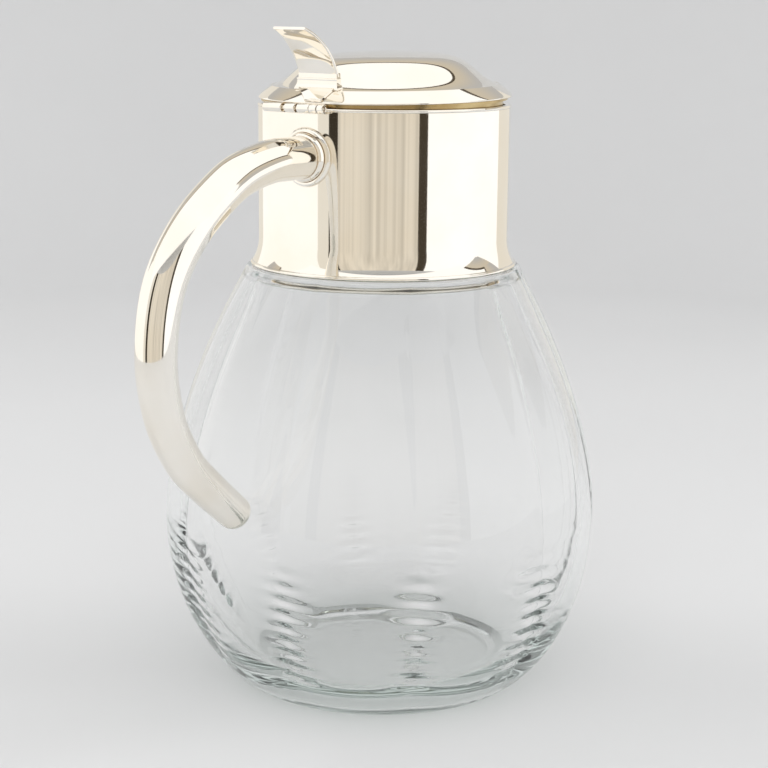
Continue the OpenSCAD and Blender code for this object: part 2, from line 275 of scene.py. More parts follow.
def turned(outline, origin, axis, name, material, segments=96, sharp_deg=None):
    """A lathe whose own Z axis is laid along axis from origin."""
    obj = lathe(name, outline, material, segments, sharp_deg=sharp_deg)
    spin = Vector((0, 0, 1)).rotation_difference(Vector(axis)).to_matrix().to_4x4()
    obj.data.transform(Matrix.Translation(Vector(origin)) @ spin)
    return obj


def lid_pose(obj):
    """Turns a piece of the lid, drawn closed, to where it stands at rest."""
    turn = Matrix.Rotation(-LID_TILT, 4, "Y")
    obj.data.transform(Matrix.Translation(HINGE) @ turn @ Matrix.Translation(-HINGE))
    return obj


def bevelled(obj, width, segments=3):
    """Rounds the edges of a piece with hard corners."""
    mod = obj.modifiers.new("rounded_edges", "BEVEL")
    mod.width = width
    mod.segments = segments
    mod.limit_method = "ANGLE"
    mod.angle_limit = math.radians(30)
    mod.harden_normals = True
    return obj


def place(obj, body, slot, *nodes):
    """Rides a piece on its body and hides the CAD nodes it stands for."""
    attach(obj, body)
    if nodes:
        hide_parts(*nodes)
    return obj


# ---------- materials ----------


def new_material(name):
    """A node material and its tree, Principled shader and output."""
    material = bpy.data.materials.new(name)
    material.use_nodes = True
    tree = material.node_tree
    return material, tree, tree.nodes["Principled BSDF"], tree.nodes["Material Output"]


def add(tree, kind, **settings):
    """A node with its settings: attributes by name, inputs by their spaced names."""
    node = tree.nodes.new(kind)
    for key, value in settings.items():
        if hasattr(node, key):
            setattr(node, key, value)
        else:
            node.inputs[key.replace("_", " ")].default_value = value
    return node


def object_space(tree, scale):
    """Object coordinates stretched by scale."""
    coords = add(tree, "ShaderNodeTexCoord")
    mapping = add(tree, "ShaderNodeMapping")
    mapping.inputs["Scale"].default_value = scale
    tree.links.new(coords.outputs["Object"], mapping.inputs["Vector"])
    return mapping.outputs["Vector"]


def noise(tree, vector, scale, detail=3.0, rough=0.5):
    """Soft noise, mostly between 0.3 and 0.7."""
    node = add(tree, "ShaderNodeTexNoise", Scale=scale, Detail=detail, Roughness=rough)
    tree.links.new(vector, node.inputs["Vector"])
    return node.outputs["Fac"]


def ramp(tree, value, *stops):
    """A colour ramp through (position, colour) stops."""
    node = add(tree, "ShaderNodeValToRGB")
    elements = node.color_ramp.elements
    while len(elements) < len(stops):
        elements.new(0.5)
    for element, (position, colour) in zip(elements, stops):
        element.position = position
        element.color = (*colour, 1)
    tree.links.new(value, node.inputs["Fac"])
    return node.outputs["Color"]


def remap(tree, value, low_value, high_value):
    """Stretches a noise value to lie between low_value and high_value."""
    node = add(tree, "ShaderNodeMapRange")
    node.inputs["From Min"].default_value = 0.3
    node.inputs["From Max"].default_value = 0.7
    node.inputs["To Min"].default_value = low_value
    node.inputs["To Max"].default_value = high_value
    tree.links.new(value, node.inputs["Value"])
    return node.outputs["Result"]


SILVER_LIGHT = (0.965, 0.935, 0.875)
SILVER_WARM = (0.945, 0.895, 0.805)
# Brown for the creases: partly patina, partly painted shade.
CREASE_PATINA_AND_SHADE = (0.50, 0.36, 0.20)
# Dark gold painted shade and reflection for the lid's underside and bezel.
SHADE_GOLD_LIGHT = (0.62, 0.50, 0.27)
SHADE_GOLD_DEEP = (0.34, 0.23, 0.09)


def make_silver(name="silver_plate", light=SILVER_LIGHT, warm=SILVER_WARM, dull=0.0):
    """Silver plate: cloudy tone, patina and painted shade darkening the creases, fine polishing marks;
    dull adds roughness.
    """
    material, tree, shader, _ = new_material(name)
    shader.inputs["Metallic"].default_value = 1.0
    cloud = noise(tree, object_space(tree, (1, 1, 1)), 38, 4)
    tone = ramp(tree, cloud, (0.35, light), (0.68, warm))
    # Painted shade: an occlusion mask darkens the creases towards the brown, partly patina.
    crease = add(tree, "ShaderNodeAmbientOcclusion", samples=4, Distance=1.1 * MM)
    dark = add(tree, "ShaderNodeMix", data_type="RGBA")
    tree.links.new(remap(tree, crease.outputs["AO"], 1, 0), dark.inputs["Factor"])
    tree.links.new(tone, dark.inputs["A"])
    dark.inputs["B"].default_value = (*CREASE_PATINA_AND_SHADE, 1)
    tree.links.new(dark.outputs["Result"], shader.inputs["Base Color"])
    smear = noise(tree, object_space(tree, (1, 1, 0.35)), 60, 5, 0.6)
    tree.links.new(remap(tree, smear, 0.025 + dull, 0.075 + dull), shader.inputs["Roughness"])
    marks = noise(tree, object_space(tree, (1, 1, 14)), 420, 2)
    bump = add(tree, "ShaderNodeBump", Strength=0.02, Distance=0.02 * MM)
    tree.links.new(marks, bump.inputs["Height"])
    tree.links.new(bump.outputs["Normal"], shader.inputs["Normal"])
    return material


GLASS_IOR = 1.5
GLASS_DENSITY = 1.5
GLASS_TINT = (0.30, 0.74, 0.58)
GLASS_SHADOW = (0.99, 1.0, 0.995)


def make_glass():
    """Clear soda glass: green only where it is thick, with faint waves left by the mould."""
    material, tree, shader, output = new_material("clear_glass")
    shader.inputs["Base Color"].default_value = (1, 1, 1, 1)
    shader.inputs["Transmission Weight"].default_value = 1.0
    shader.inputs["IOR"].default_value = GLASS_IOR
    film = noise(tree, object_space(tree, (1, 1, 0.3)), 24, 3)
    tree.links.new(remap(tree, film, 0.0, 0.012), shader.inputs["Roughness"])
    waves = noise(tree, object_space(tree, (1, 1, 0.25)), 60, 1)
    bump = add(tree, "ShaderNodeBump", Strength=0.12, Distance=0.3 * MM)
    tree.links.new(waves, bump.inputs["Height"])
    tree.links.new(bump.outputs["Normal"], shader.inputs["Normal"])
    lamps = add(tree, "ShaderNodeBsdfTransparent", Color=(*GLASS_SHADOW, 1))
    path = add(tree, "ShaderNodeLightPath")
    both = add(tree, "ShaderNodeMixShader")
    tree.links.new(path.outputs["Is Shadow Ray"], both.inputs["Fac"])
    tree.links.new(shader.outputs["BSDF"], both.inputs[1])
    tree.links.new(lamps.outputs["BSDF"], both.inputs[2])
    tree.links.new(both.outputs["Shader"], output.inputs["Surface"])
    tint = add(tree, "ShaderNodeVolumeAbsorption", Color=(*GLASS_TINT, 1), Density=GLASS_DENSITY)
    tree.links.new(tint.outputs["Volume"], output.inputs["Volume"])
    return material


def make_plaster():
    """Cement between neck and collar: chalky, pitted and a little uneven in tone."""
    material, tree, shader, _ = new_material("plaster")
    grain = noise(tree, object_space(tree, (1, 1, 1)), 300, 6, 0.6)
    tone = ramp(tree, grain, (0.3, (0.74, 0.70, 0.62)), (0.7, (0.88, 0.86, 0.80)))
    tree.links.new(tone, shader.inputs["Base Color"])
    tree.links.new(remap(tree, grain, 0.75, 0.95), shader.inputs["Roughness"])
    bump = add(tree, "ShaderNodeBump", Strength=0.5, Distance=0.2 * MM)
    tree.links.new(grain, bump.inputs["Height"])
    tree.links.new(bump.outputs["Normal"], shader.inputs["Normal"])
    return material


silver = make_silver()
# Dark gold painted shade and reflection, used on the lid's underside and bezel.
underside_shade_silver = make_silver("silver_recess", SHADE_GOLD_LIGHT, SHADE_GOLD_DEEP, 0.16)
glass = make_glass()
plaster = make_plaster()


# ---------- glass body ----------


def glass_out(z):
    """Outer radius of the glass, without lobes."""
    if z <= BODY_Z:
        return FOOT_R + (BODY_R - FOOT_R) * max(0, 1 - (1 - z / BODY_Z) ** 2) ** FOOT_BOW
    if z <= SHOULDER_Z:
        rise = (z - BODY_Z) / (SHOULDER_Z - BODY_Z)
        return SHOULDER_R + (BODY_R - SHOULDER_R) * (1 - rise ** SHOULDER_BOW)
    t = min(1, (z - SHOULDER_Z) / NECK_TURN)
    return NECK_R + (SHOULDER_R - NECK_R) * (1 - math.sqrt(t * (2 - t)))


def glass_in(z):
    """Inner radius of the glass, without lobes."""
    if z <= INNER_TURN_Z:
        dip = 1 - (z - BASE_T) / (INNER_TURN_Z - BASE_T)
        return FLOOR_R + (BODY_R - BODY_WALL - FLOOR_R) * max(0, 1 - dip ** 2) ** FLOOR_BOW
    t = step01((z - INNER_TURN_Z) / (SHOULDER_Z - BODY_Z))
    wall = mix(BODY_WALL, NECK_WALL, t)
    return max(NECK_R - NECK_WALL, glass_out(z + SHOULDER_EXTRA * t) - wall)


def lobe_fade(z, z0):
    """Strength of the lobes at height z: none at the foot or inside the collar."""
    return step01((z - z0) / LOBE_RISE) * (1 - step01((z - LOBE_END_Z) / LOBE_END_H))


def groove(angle, soft):
    """Share of the groove depth: 1 in a groove, 0 on the crest of a lobe."""
    s = np.sin(LOBES * (angle - math.radians(LOBE_PHASE)) / 2)
    return 1 - np.sqrt((s * s + soft * soft) / (1 + soft * soft))


def ripple(angle, z):
    """Tool marks on the inside, along the low part of each groove."""
    rng = np.random.default_rng(7)
    zone = step01((z - 12 * MM) / (10 * MM)) * (1 - step01((z - 48 * MM) / (26 * MM)))
    near = groove(angle, 0.1) ** 3
    lobe = np.floor(LOBES * (angle - math.radians(LOBE_PHASE)) / TAU + 0.5).astype(int) % LOBES
    shift = rng.uniform(0, TAU, LOBES)[lobe]
    stretch = rng.uniform(0.8, 1.25, LOBES)[lobe]
    wave = np.sin(TAU * z / (RIPPLE_PITCH * stretch) + shift + 9 * angle)
    return RIPPLE_DEPTH * zone * near * (wave + 0.5 * np.sin(2.3 * TAU * z / RIPPLE_PITCH + 2 * shift))


def glass_ring(radius, z, depth, soft, inside):
    """A level ring of points, with grooves of the given depth and, inside, the tool marks."""
    angle = np.linspace(0, TAU, GLASS_SIDES, endpoint=False)
    r = radius - depth * groove(angle, soft)
    if inside:
        r = r + ripple(angle, z)
    return np.stack([r * np.cos(angle), r * np.sin(angle), np.full(GLASS_SIDES, z)], axis=1)


def build_glass():
    """One closed wall: up the outside, over the rim and down the inside."""
    bow = 1 - np.cos(np.linspace(0, math.pi / 2, 84))
    lip_z = NECK_TOP - NECK_LIP
    top = np.append(SHOULDER_Z + NECK_TURN * np.linspace(0, 1, 14)[1:] ** 1.6, lip_z)
    out_z = np.concatenate([BODY_Z * bow, np.linspace(BODY_Z, SHOULDER_Z, 50)[1:], top])
    in_z = np.concatenate([BASE_T + (INNER_TURN_Z - BASE_T) * bow,
                           np.linspace(INNER_TURN_Z, SHOULDER_Z, 50)[1:], top])
    outer = [glass_ring(glass_out(z), z, LOBE_DEPTH * lobe_fade(z, 1 * MM), OUTER_SOFT, False)
             for z in out_z]
    inner = [glass_ring(glass_in(z), z, LOBE_DEPTH * lobe_fade(z, BASE_T), INNER_SOFT, True)
             for z in in_z]
    lip = []
    for k in range(1, 8):
        a = math.pi * k / 8
        r = NECK_R - NECK_WALL / 2 + NECK_WALL / 2 * math.cos(a)
        lip.append(glass_ring(r, lip_z + NECK_LIP * math.sin(a), 0, OUTER_SOFT, False))
    kick = [glass_ring(r, z, 0, OUTER_SOFT, False)
            for r, z in ((6 * MM, 1.3 * MM), (30 * MM, 1.1 * MM), (45 * MM, 0.6 * MM),
                         (50 * MM, 0.15 * MM), (52 * MM, 0))]
    floor = [glass_ring(r, BASE_T, 0, OUTER_SOFT, False) for r in (30 * MM, 8 * MM)]
    rings = kick + outer + lip + inner[::-1] + floor
    return loft("glass_jug", rings, glass)


place(build_glass(), "jug", "glass", "glass_body")


# ---------- neck and collar ----------


def skirt_point(t, inset=0.0):
    """A point on the flared skirt: t is 0 at its top and 1 at its lower edge."""
    foot = SKIRT_BOTTOM + 2 * BEAD_R
    top = foot + SKIRT_H - 1 * MM
    return mix(COLLAR_LOW_R, SKIRT_R, t ** SKIRT_BOW) - inset, mix(top, foot, t)


def build_collar():
    """Straight band with a flared skirt, in sheet of even thickness."""
    top = (COLLAR_R, COLLAR_TOP - 1.2 * MM)
    steps = [i / 28 for i in range(29)]
    outer = [top] + [skirt_point(t) for t in steps]
    inner = [skirt_point(t, SHEET_T) for t in reversed(steps)] + [(top[0] - SHEET_T, top[1])]
    return lathe("collar_band", outer + inner, silver, 360, 0.012 * MM, 3, 40)


def build_rim():
    """Solid rim that the lid closes onto."""
    z = COLLAR_TOP
    outline = [(COLLAR_R - 2.2 * MM, z - 1.2 * MM), (COLLAR_R + 0.1 * MM, z - 1.2 * MM),
               (COLLAR_R + 0.25 * MM, z - 0.6 * MM), (COLLAR_R, z), (COLLAR_R - 1.9 * MM, z),
               (COLLAR_R - 2.2 * MM, z - 0.3 * MM)]
    return lathe("collar_lip", fillet(outline, 0.3 * MM, 3), silver, 360, sharp_deg=50)


def build_bead():
    """Rolled lower edge of the skirt."""
    r, z = SKIRT_R - 0.1 * MM, SKIRT_BOTTOM + BEAD_R
    angles = [TAU * k / 20 for k in range(20)]
    outline = [(r + BEAD_R * math.cos(a), z + BEAD_R * math.sin(a)) for a in angles]
    return lathe("skirt_roll", outline, silver, 360)


place(build_collar(), "jug", "silver_plate", "collar")
place(build_rim(), "jug", "silver_plate", "collar_rim")
place(build_bead(), "jug", "silver_plate", "skirt_bead")


# ---------- hinge ----------


def knuckle(name, spans, bore):
    """Lengths of barrel with softened ends, joined as one piece."""
    parts = []
    for span in spans:
        length = (span[1] - span[0]) * MM
        outline = [(bore, 0), (BARREL_R, 0), (BARREL_R, length), (bore, length)]
        start = (HINGE.x, BARREL_Y0 + span[0] * MM, HINGE.z)
        parts.append(turned(fillet(outline, 0.22 * MM, 3), start, (0, 1, 0), name, silver, 48, 40))
    return joined(name, parts)


def joined(name, parts):
    """Several mesh objects as one piece."""
    with bpy.context.temp_override(active_object=parts[0], selected_editable_objects=parts):
        bpy.ops.object.join()
    parts[0].name = name
    return parts[0]


def build_pin():
    """Rod with bevelled ends, a little shorter than the barrel."""
    length = (KNUCKLES["k_far"][1] - 0.8) * MM
    nose, bevel = PIN_R * 0.7, 0.25 * MM
    outline = [(0, 0), (nose, 0), (PIN_R, bevel), (PIN_R, length - bevel), (nose, length), (0, length)]
    start = (HINGE.x, BARREL_Y0 + 0.4 * MM, HINGE.z)
    return turned(outline, start, (0, 1, 0), "pin_rod", silver, 32, 40)


place(knuckle("collar_barrel", [KNUCKLES[k] for k in ("k_end", "k_mid", "k_far")], PIN_R),
      "jug", "silver_plate", "collar_knuckles")
place(lid_pose(knuckle("lid_barrel", [KNUCKLES[k] for k in ("k_lid_b", "k_lid_a")],
                       PIN_R + PIN_FIT)), "lid", "silver_plate", "lid_knuckles")
place(build_pin(), "jug", "silver_plate", "hinge_pin")


# ---------- handle ----------


def path_point(u):
    """Centre line of the handle in the XZ plane; u counts the path's points."""
    last = len(HANDLE_PATH) - 1
    i = min(last - 1, int(u))
    t = u - i
    a, b, c, d = (np.array(HANDLE_PATH[min(last, max(0, k))]) for k in (i - 1, i, i + 1, i + 2))
    return MM * 0.5 * (2 * b + (c - a) * t + (2 * a - 5 * b + 4 * c - d) * t ** 2
                       + (3 * b - a - 3 * c + d) * t ** 3)


def build_handle():
    """A tube that tapers to a rounded, closed end."""
    sides, steps, reach = 72, 260, 4
    last = len(HANDLE_PATH) - 1
    points = np.array([path_point(last * i / steps) for i in range(steps + 1)])
    kernel = np.ones(2 * reach + 1) / (2 * reach + 1)
    padded = np.concatenate([np.repeat(points[:1], reach, 0), points, np.repeat(points[-1:], reach, 0)])
    smooth = np.stack([np.convolve(padded[:, k], kernel, "valid") for k in (0, 1)], axis=1)
    smooth[0], smooth[-1] = points[0], points[-1]
    rings = []
    for i, p in enumerate(smooth):
        t = i / steps
        ahead = smooth[min(steps, i + 1)] - smooth[max(0, i - 1)]
        ahead = ahead / np.linalg.norm(ahead)
        radius = mix(TUBE_R, TIP_R, step01(t) * 0.55 + t ** 4 * 0.45)
        rings.append(tube_ring(p, ahead, radius, sides))
    for k in range(1, 13):
        a = math.pi / 2 * k / 12
        rings.append(tube_ring(smooth[-1] + ahead * TIP_LENGTH * math.sin(a), ahead,
                               max(TIP_R * math.cos(a), 1e-5), sides))
    return loft("handle_bow", rings, silver)


def tube_ring(centre, ahead, radius, sides):
    """A ring round the centre line; ahead is its direction in the XZ plane."""
    ring = []
    for j in range(sides):
        a = TAU * j / sides
        ring.append((-(centre[0] + radius * math.cos(a) * ahead[1]), radius * math.sin(a),
                     centre[1] - radius * math.cos(a) * ahead[0]))
    return ring


def hugging(name, outline, segments=128):
    """A round fitting whose back follows the collar; outline is (radius, height off the collar)."""
    obj = lathe(name, outline, silver, segments, sharp_deg=45)
    for v in obj.data.vertices:
        across, up, off = v.co.y, v.co.x, v.co.z
        v.co = (-(math.sqrt(COLLAR_LOW_R ** 2 - across ** 2) - 0.35 * MM + off), across, ROOT_Z + up)
    obj.data.update()
    return obj


def build_boss():
    """Washer soldered to the collar, with a raised edge."""
    edge = BOSS_R / MM
    outline = [(5, 0), (edge, 0), (edge, 1.3), (edge - 0.7, 1.9), (edge - 1.5, 1.9), (9.3, 1.75),
               (5, 1.75)]
    return hugging("boss_washer", [(r * MM, h * MM) for r, h in fillet(outline, 0.45, 4)])


def build_ferrule():
    """Turned ring between the boss and the tube."""
    outline = [(5, 1.7), (9.3, 1.7), (9.3, 2.4), (8.9, 3.3), (8.3, 3.75), (7.9, 3.75), (5, 3.75)]
    return hugging("ferrule_ring", [(r * MM, h * MM) for r, h in fillet(outline, 0.4, 4)])


place(build_handle(), "jug", "silver_plate", "handle_tube", "handle_tip")
place(build_boss(), "jug", "silver_plate", "handle_boss")
place(build_ferrule(), "jug", "silver_plate", "handle_ferrule")


# ---------- lid ----------


def dome_z(r):
    """Height of the dome over the collar at radius r: an S-shaped side and a low crown."""
    side = 1 / (1 + math.exp((r - DOME_R) / DOME_SOFT))
    crown = DOME_CROWN * (1 - (r / DOME_LINE_R) ** 2)
    return DOME_LOW + (DOME_TOP - DOME_LOW - DOME_CROWN) * side + crown


def flange_top(count):
    """The sloping top of the flange, from its edge inwards: (radius, height)."""
    return [(mix(LID_R, DOME_LINE_R + 0.2 * MM, u),
             mix(FLANGE_GAP + LIP_T, DOME_FOOT + 0.3 * MM, u ** 0.8))
            for u in np.linspace(0, 1, count) ** 1.5]


def lid_line():
    """Outside of the lid from the flange's edge to the crown: (radius, height over the collar)."""
    edge = [(LID_R - 0.12 * MM, FLANGE_GAP), (LID_R, FLANGE_GAP + 0.14 * MM)]
    step = [(DOME_LINE_R + 0.08 * MM, DOME_FOOT + 0.26 * MM), (DOME_LINE_R, DOME_FOOT + 0.08 * MM)]
    radii = (DOME_LINE_R - 0.12 * MM) * np.cos(np.linspace(0, math.pi / 2, 80))
    radii[-1] = 0
    return edge + flange_top(20) + step + [(r, dome_z(r)) for r in radii]


def build_lid():
    """The spun lid; the underside of its flange gets dark gold painted shade and reflection."""
    line = lid_line()
    inner = [(max(0, r - 0.6 * MM), z - 0.95 * MM) for r, z in reversed(line[8:])]
    outline = line + inner + [(LID_R - 2.4 * MM, FLANGE_GAP)]
    outline = [(r, z + COLLAR_TOP) for r, z in outline]
    obj = lathe("lid_dome", outline, silver, 360, 0.008 * MM, 5, 50)
    obj.data.materials.append(underside_shade_silver)
    # Painted shade: the down-facing faces of the flange get the dark gold material.
    for face in obj.data.polygons:
        if face.normal.z < -0.2 and math.hypot(face.center.x, face.center.y) > RECESS_R:
            face.material_index = 1
    obj.data.transform(Matrix.Translation((LID_SHIFT, 0, 0)))
    return lid_pose(obj)


place(build_lid(), "lid", "silver_plate", "lid_shell")


# ---------- thumbpiece ----------


def plate_ring(radius, height, lean, y0, y1, count=13):
    """A slice through the plate on the flange; lean is the (out, up) direction of its thickness."""
    ys = np.linspace(y0, y1, count)

    def row(offset):
        reach, z = radius + offset * lean[0], COLLAR_TOP + height + offset * lean[1]
        return [(LID_SHIFT - math.sqrt(reach ** 2 - y * y), y, z) for y in ys]

    return row(PLATE_T) + row(0.04 * MM)[::-1]


def build_bracket():
    """Plate that lies on the flange and widens with hollow sides up to the moulding."""
    spine = [(LID_R, PLATE_Z0)] + [p for p in flange_top(18) if p[1] > PLATE_Z0 + 0.05 * MM]
    spine += [(r, dome_z(r)) for r in (DOME_LINE_R - 0.4 * MM, DOME_LINE_R - 1 * MM)]
    rings = []
    for i, (r, z) in enumerate(spine):
        ahead = np.array(spine[min(len(spine) - 1, i + 1)]) - np.array(spine[max(0, i - 1)])
        lean = np.array((ahead[1], -ahead[0])) / np.linalg.norm(ahead)
        spread = (z - PLATE_Z0) / (BOX_Z0 - PLATE_Z0)
        rings.append(plate_ring(r, z, lean, mix(PLATE_FOOT_Y[0], PLATE_TOP_Y[0], spread ** 0.8) * MM,
                                mix(PLATE_FOOT_Y[1], PLATE_TOP_Y[1], spread ** 1.4) * MM))
    return lid_pose(bevelled(loft("thumb_plate", rings, silver, sharp_deg=35), 0.25 * MM))


def block_ring(height, front, half, count=9):
    """A level slice through the moulding: front is its reach towards the handle."""
    ys = np.linspace(-half, half, count)
    face = [(-front, y, COLLAR_TOP + height) for y in ys]
    return face + [(-(BOX_X - BOX_T), y, COLLAR_TOP + height) for y in reversed(ys)]


# Moulding from its foot up, in mm: how far it stands out, its height, how far its sides widen.
MOULDING = ((0.5, 5.7, 0.5), (0.85, 6.3, 0.8), (0.9, 6.9, 0.85), (0.6, 7.5, 0.55), (0.25, 8.2, 0.25),
            (0.05, 9, 0.05), (0, 9.9, 0), (0.15, 10.3, 0.12), (0.1, 10.55, 0.08), (-0.3, 10.65, -0.2),
            (-0.4, 10.9, -0.3), (-0.4, 12.2, -0.3), (-0.55, 12.5, -0.45), (-0.8, 12.6, -0.6))


def build_moulding():
    """Cyma moulding with a narrow band above it."""
    rings = [block_ring(h * MM, BOX_X + out * MM, BOX_W / 2 + side * MM) for out, h, side in MOULDING]
    return lid_pose(loft("thumb_block", rings, silver, sharp_deg=38))


def build_blade():
    """Curved strip: leans out to a straight top edge, hollow across, with rounded edges."""
    across, steps = 33, 48
    arc = (BLADE_TOP - BAND_Z1) / (math.sin(BLADE_LEAN_TOP) - math.sin(BLADE_LEAN))
    rings = []
    for t in np.linspace(-0.06, 1, steps + 1):
        lean = mix(BLADE_LEAN, BLADE_LEAN_TOP, t)
        x = BOX_X - 1.1 * MM + arc * (math.cos(BLADE_LEAN) - math.cos(lean))
        z = COLLAR_TOP + BAND_Z1 + arc * (math.sin(lean) - math.sin(BLADE_LEAN))
        inward = np.array((math.cos(lean), math.sin(lean)))
        half = mix(BOX_W / 2 - 0.2 * MM, BLADE_TOP_W / 2, max(0, t) ** 2)
        thick = BLADE_T * mix(1, 0.8, t)
        cup = BLADE_CUP * step01(t / 0.25) * (1 - step01((t - 0.6) / 0.4))
        front, back = [], []
        for s in np.sin(np.linspace(-math.pi / 2, math.pi / 2, across)):
            dish = cup * (1 - s * s)
            edge = thick / 2 * math.sqrt(max(0, 1 - max(0, (abs(s) - 0.93) / 0.07) ** 2)) + 0.02 * MM
            near = np.array((-x, z)) + inward * (dish - edge)
            far = np.array((-x, z)) + inward * (dish + edge)
            front.append((near[0], s * half, near[1]))
            back.append((far[0], s * half, far[1]))
        rings.append(front + back[::-1])
    return lid_pose(loft("thumb_strip", rings, silver, sharp_deg=50))


place(build_bracket(), "lid", "silver_plate", "thumb_bracket")
place(build_moulding(), "lid", "silver_plate", "thumb_moulding")
place(build_blade(), "lid", "silver_plate", "thumb_blade")

# CAD pieces whose shape is already right get their finish here; the lid's bezel gets the dark gold
# painted shade and reflection.
for node, finish in (("neck_cement", plaster), ("hinge_plate", silver), ("lid_bezel", underside_shade_silver),
                     ("lid_leaf", silver)):
    for slot in frame["nodes"][node].material_slots:
        slot.material = finish


# ---------- studio ----------

STUDIO_R = 1.55
STUDIO_FILLET = 0.5
STUDIO_WALL = 1.7
CAMERA_AZIMUTH = -54.0
TONE = "tone"


def make_backdrop_material():
    """Pale paper with a trace of mottling."""
    material, tree, shader, _ = new_material("studio_paper")
    grain = noise(tree, object_space(tree, (1, 1, 1)), 2.5, 2)
    tone = ramp(tree, grain, (0.3, (0.74, 0.74, 0.74)), (0.7, (0.76, 0.76, 0.76)))
    tree.links.new(tone, shader.inputs["Base Color"])
    shader.inputs["Roughness"].default_value = 0.9
    shader.inputs["Specular IOR Level"].default_value = 0.1
    return material


def build_backdrop():
    """Floor that curves up into a wall on every side."""
    outline = [(0, 0), (STUDIO_R - STUDIO_FILLET, 0)]
    for k in range(1, 17):
        a = math.pi / 2 * k / 16
        outline.append((STUDIO_R - STUDIO_FILLET * (1 - math.sin(a)), STUDIO_FILLET * (1 - math.cos(a))))
    outline.append((STUDIO_R, STUDIO_WALL))
    sides = 96
    verts = [(r * math.cos(TAU * j / sides), r * math.sin(TAU * j / sides), z)
             for r, z in outline[1:] for j in range(sides)]
    faces = [(k * sides + j, k * sides + (j + 1) % sides, (k + 1) * sides + (j + 1) % sides,
              (k + 1) * sides + j) for k in range(len(outline) - 2) for j in range(sides)]
    faces.append(tuple(range(sides)))
    return make_object("studio_floor", verts, faces, make_backdrop_material(), 60)


def card_material(name, colour, strength, streaks=0.0, fade=False):
    """Plain glow for a reflected panel; streaks adds soft upright bands, fade reads TONE."""
    material = bpy.data.materials.new(name)
    material.use_nodes = True
    tree = material.node_tree
    tree.nodes.clear()
    glow = add(tree, "ShaderNodeEmission", Color=(*colour, 1), Strength=strength)
    output = add(tree, "ShaderNodeOutputMaterial")
    if streaks:
        bands = noise(tree, object_space(tree, (9, 9, 0.5)), 1.6, 3)
        dim = tuple(c * (1 - streaks) for c in colour)
        tone = ramp(tree, bands, (0.35, dim), (0.62, colour))
        tree.links.new(tone, glow.inputs["Color"])
    if fade:
        tone = add(tree, "ShaderNodeVertexColor", layer_name=TONE)
        tree.links.new(tone.outputs["Color"], glow.inputs["Color"])
    tree.links.new(glow.outputs["Emission"], output.inputs["Surface"])
    material.cycles.emission_sampling = "NONE"
    return material


def direction(azimuth):
    """Level direction from the jug, in degrees from the camera; positive is the picture's right."""
    a = math.radians(CAMERA_AZIMUTH - 90 + azimuth)
    return Vector((math.cos(a), math.sin(a), 0))


def reflected_only(card):
    """Shows a panel in reflections and to nothing else."""
    card.visible_camera = False
    card.visible_diffuse = False
    card.visible_transmission = False
    card.visible_shadow = False


def build_card(name, az0, az1, colour, strength, streaks):
    """A curved upright panel that only polished surfaces see."""
    steps = max(2, int(abs(az1 - az0) / 4))
    verts, faces = [], []
    for i in range(steps + 1):
        away = direction(mix(az0, az1, i / steps)) * CARD_R
        verts += [(away.x, away.y, 0), (away.x, away.y, CARD_TOP)]
    for i in range(steps):
        faces.append((2 * i, 2 * i + 2, 2 * i + 3, 2 * i + 1))
    reflected_only(make_object(name, verts, faces, card_material(name, colour, strength, streaks)))


CREAM = (1.0, 0.985, 0.95)
PALE = (0.86, 0.82, 0.74)
GREY = (0.62, 0.61, 0.60)
WHITE = (1.0, 0.995, 0.985)
TAN = (0.78, 0.70, 0.57)
ROOM = (0.82, 0.755, 0.65)
DARK = (0.060, 0.048, 0.034)
CARD_R = 0.95
CARD_TOP = 0.8
# Panels round the jug: name, from and to azimuth, colour, strength, streaks.
CARDS = (
    ("card_left", -143, -60, CREAM, 1.1, 0.0),
    ("card_left_edge", -60, -49, PALE, 0.95, 0.0),
    ("card_dark_left", -49, -40.5, DARK, 0.7, 0.0),
    ("card_room", -40.5, 30, ROOM, 0.98, 0.26),
    ("card_dark_right", 30, 38, DARK, 1.0, 0.0),
    ("card_right", 38, 124, WHITE, 1.15, 0.0),
    ("card_right_edge", 124, 155, PALE, 0.95, 0.0),
    ("card_left_back", -165, -143, PALE, 0.95, 0.0),
)
CANOPY_R = 0.9
# Panels overhead: name, from and to angle over the jug (0 is level towards the camera, 90 is
# straight up), from and to angle across it (positive is the picture's right), colour at the
# first corner, colour at the last one, strength.
CANOPY = (
    ("canopy", 42, 124, -62, 66, WHITE, WHITE, 1.12),
    ("canopy_far_edge", 124, 127, -65, 69, DARK, DARK, 1.6),
    ("canopy_right_edge", 62, 124, 66, 69, DARK, DARK, 1.6),
    ("canopy_far_wall", 127, 155, -65, 69, TAN, GREY, 0.8),
    ("canopy_right_wall", 62, 155, 69, 88, TAN, GREY, 0.8),
)


def canopy_point(over, across):
    """A point on the sphere round the lid, from its two angles in degrees."""
    over, across = math.radians(over), math.radians(across)
    ahead = math.cos(over) * direction(0) + math.sin(over) * Vector((0, 0, 1))
    return Vector((0, 0, COLLAR_TOP)) + CANOPY_R * (math.cos(across) * ahead
                                                    + math.sin(across) * direction(90))


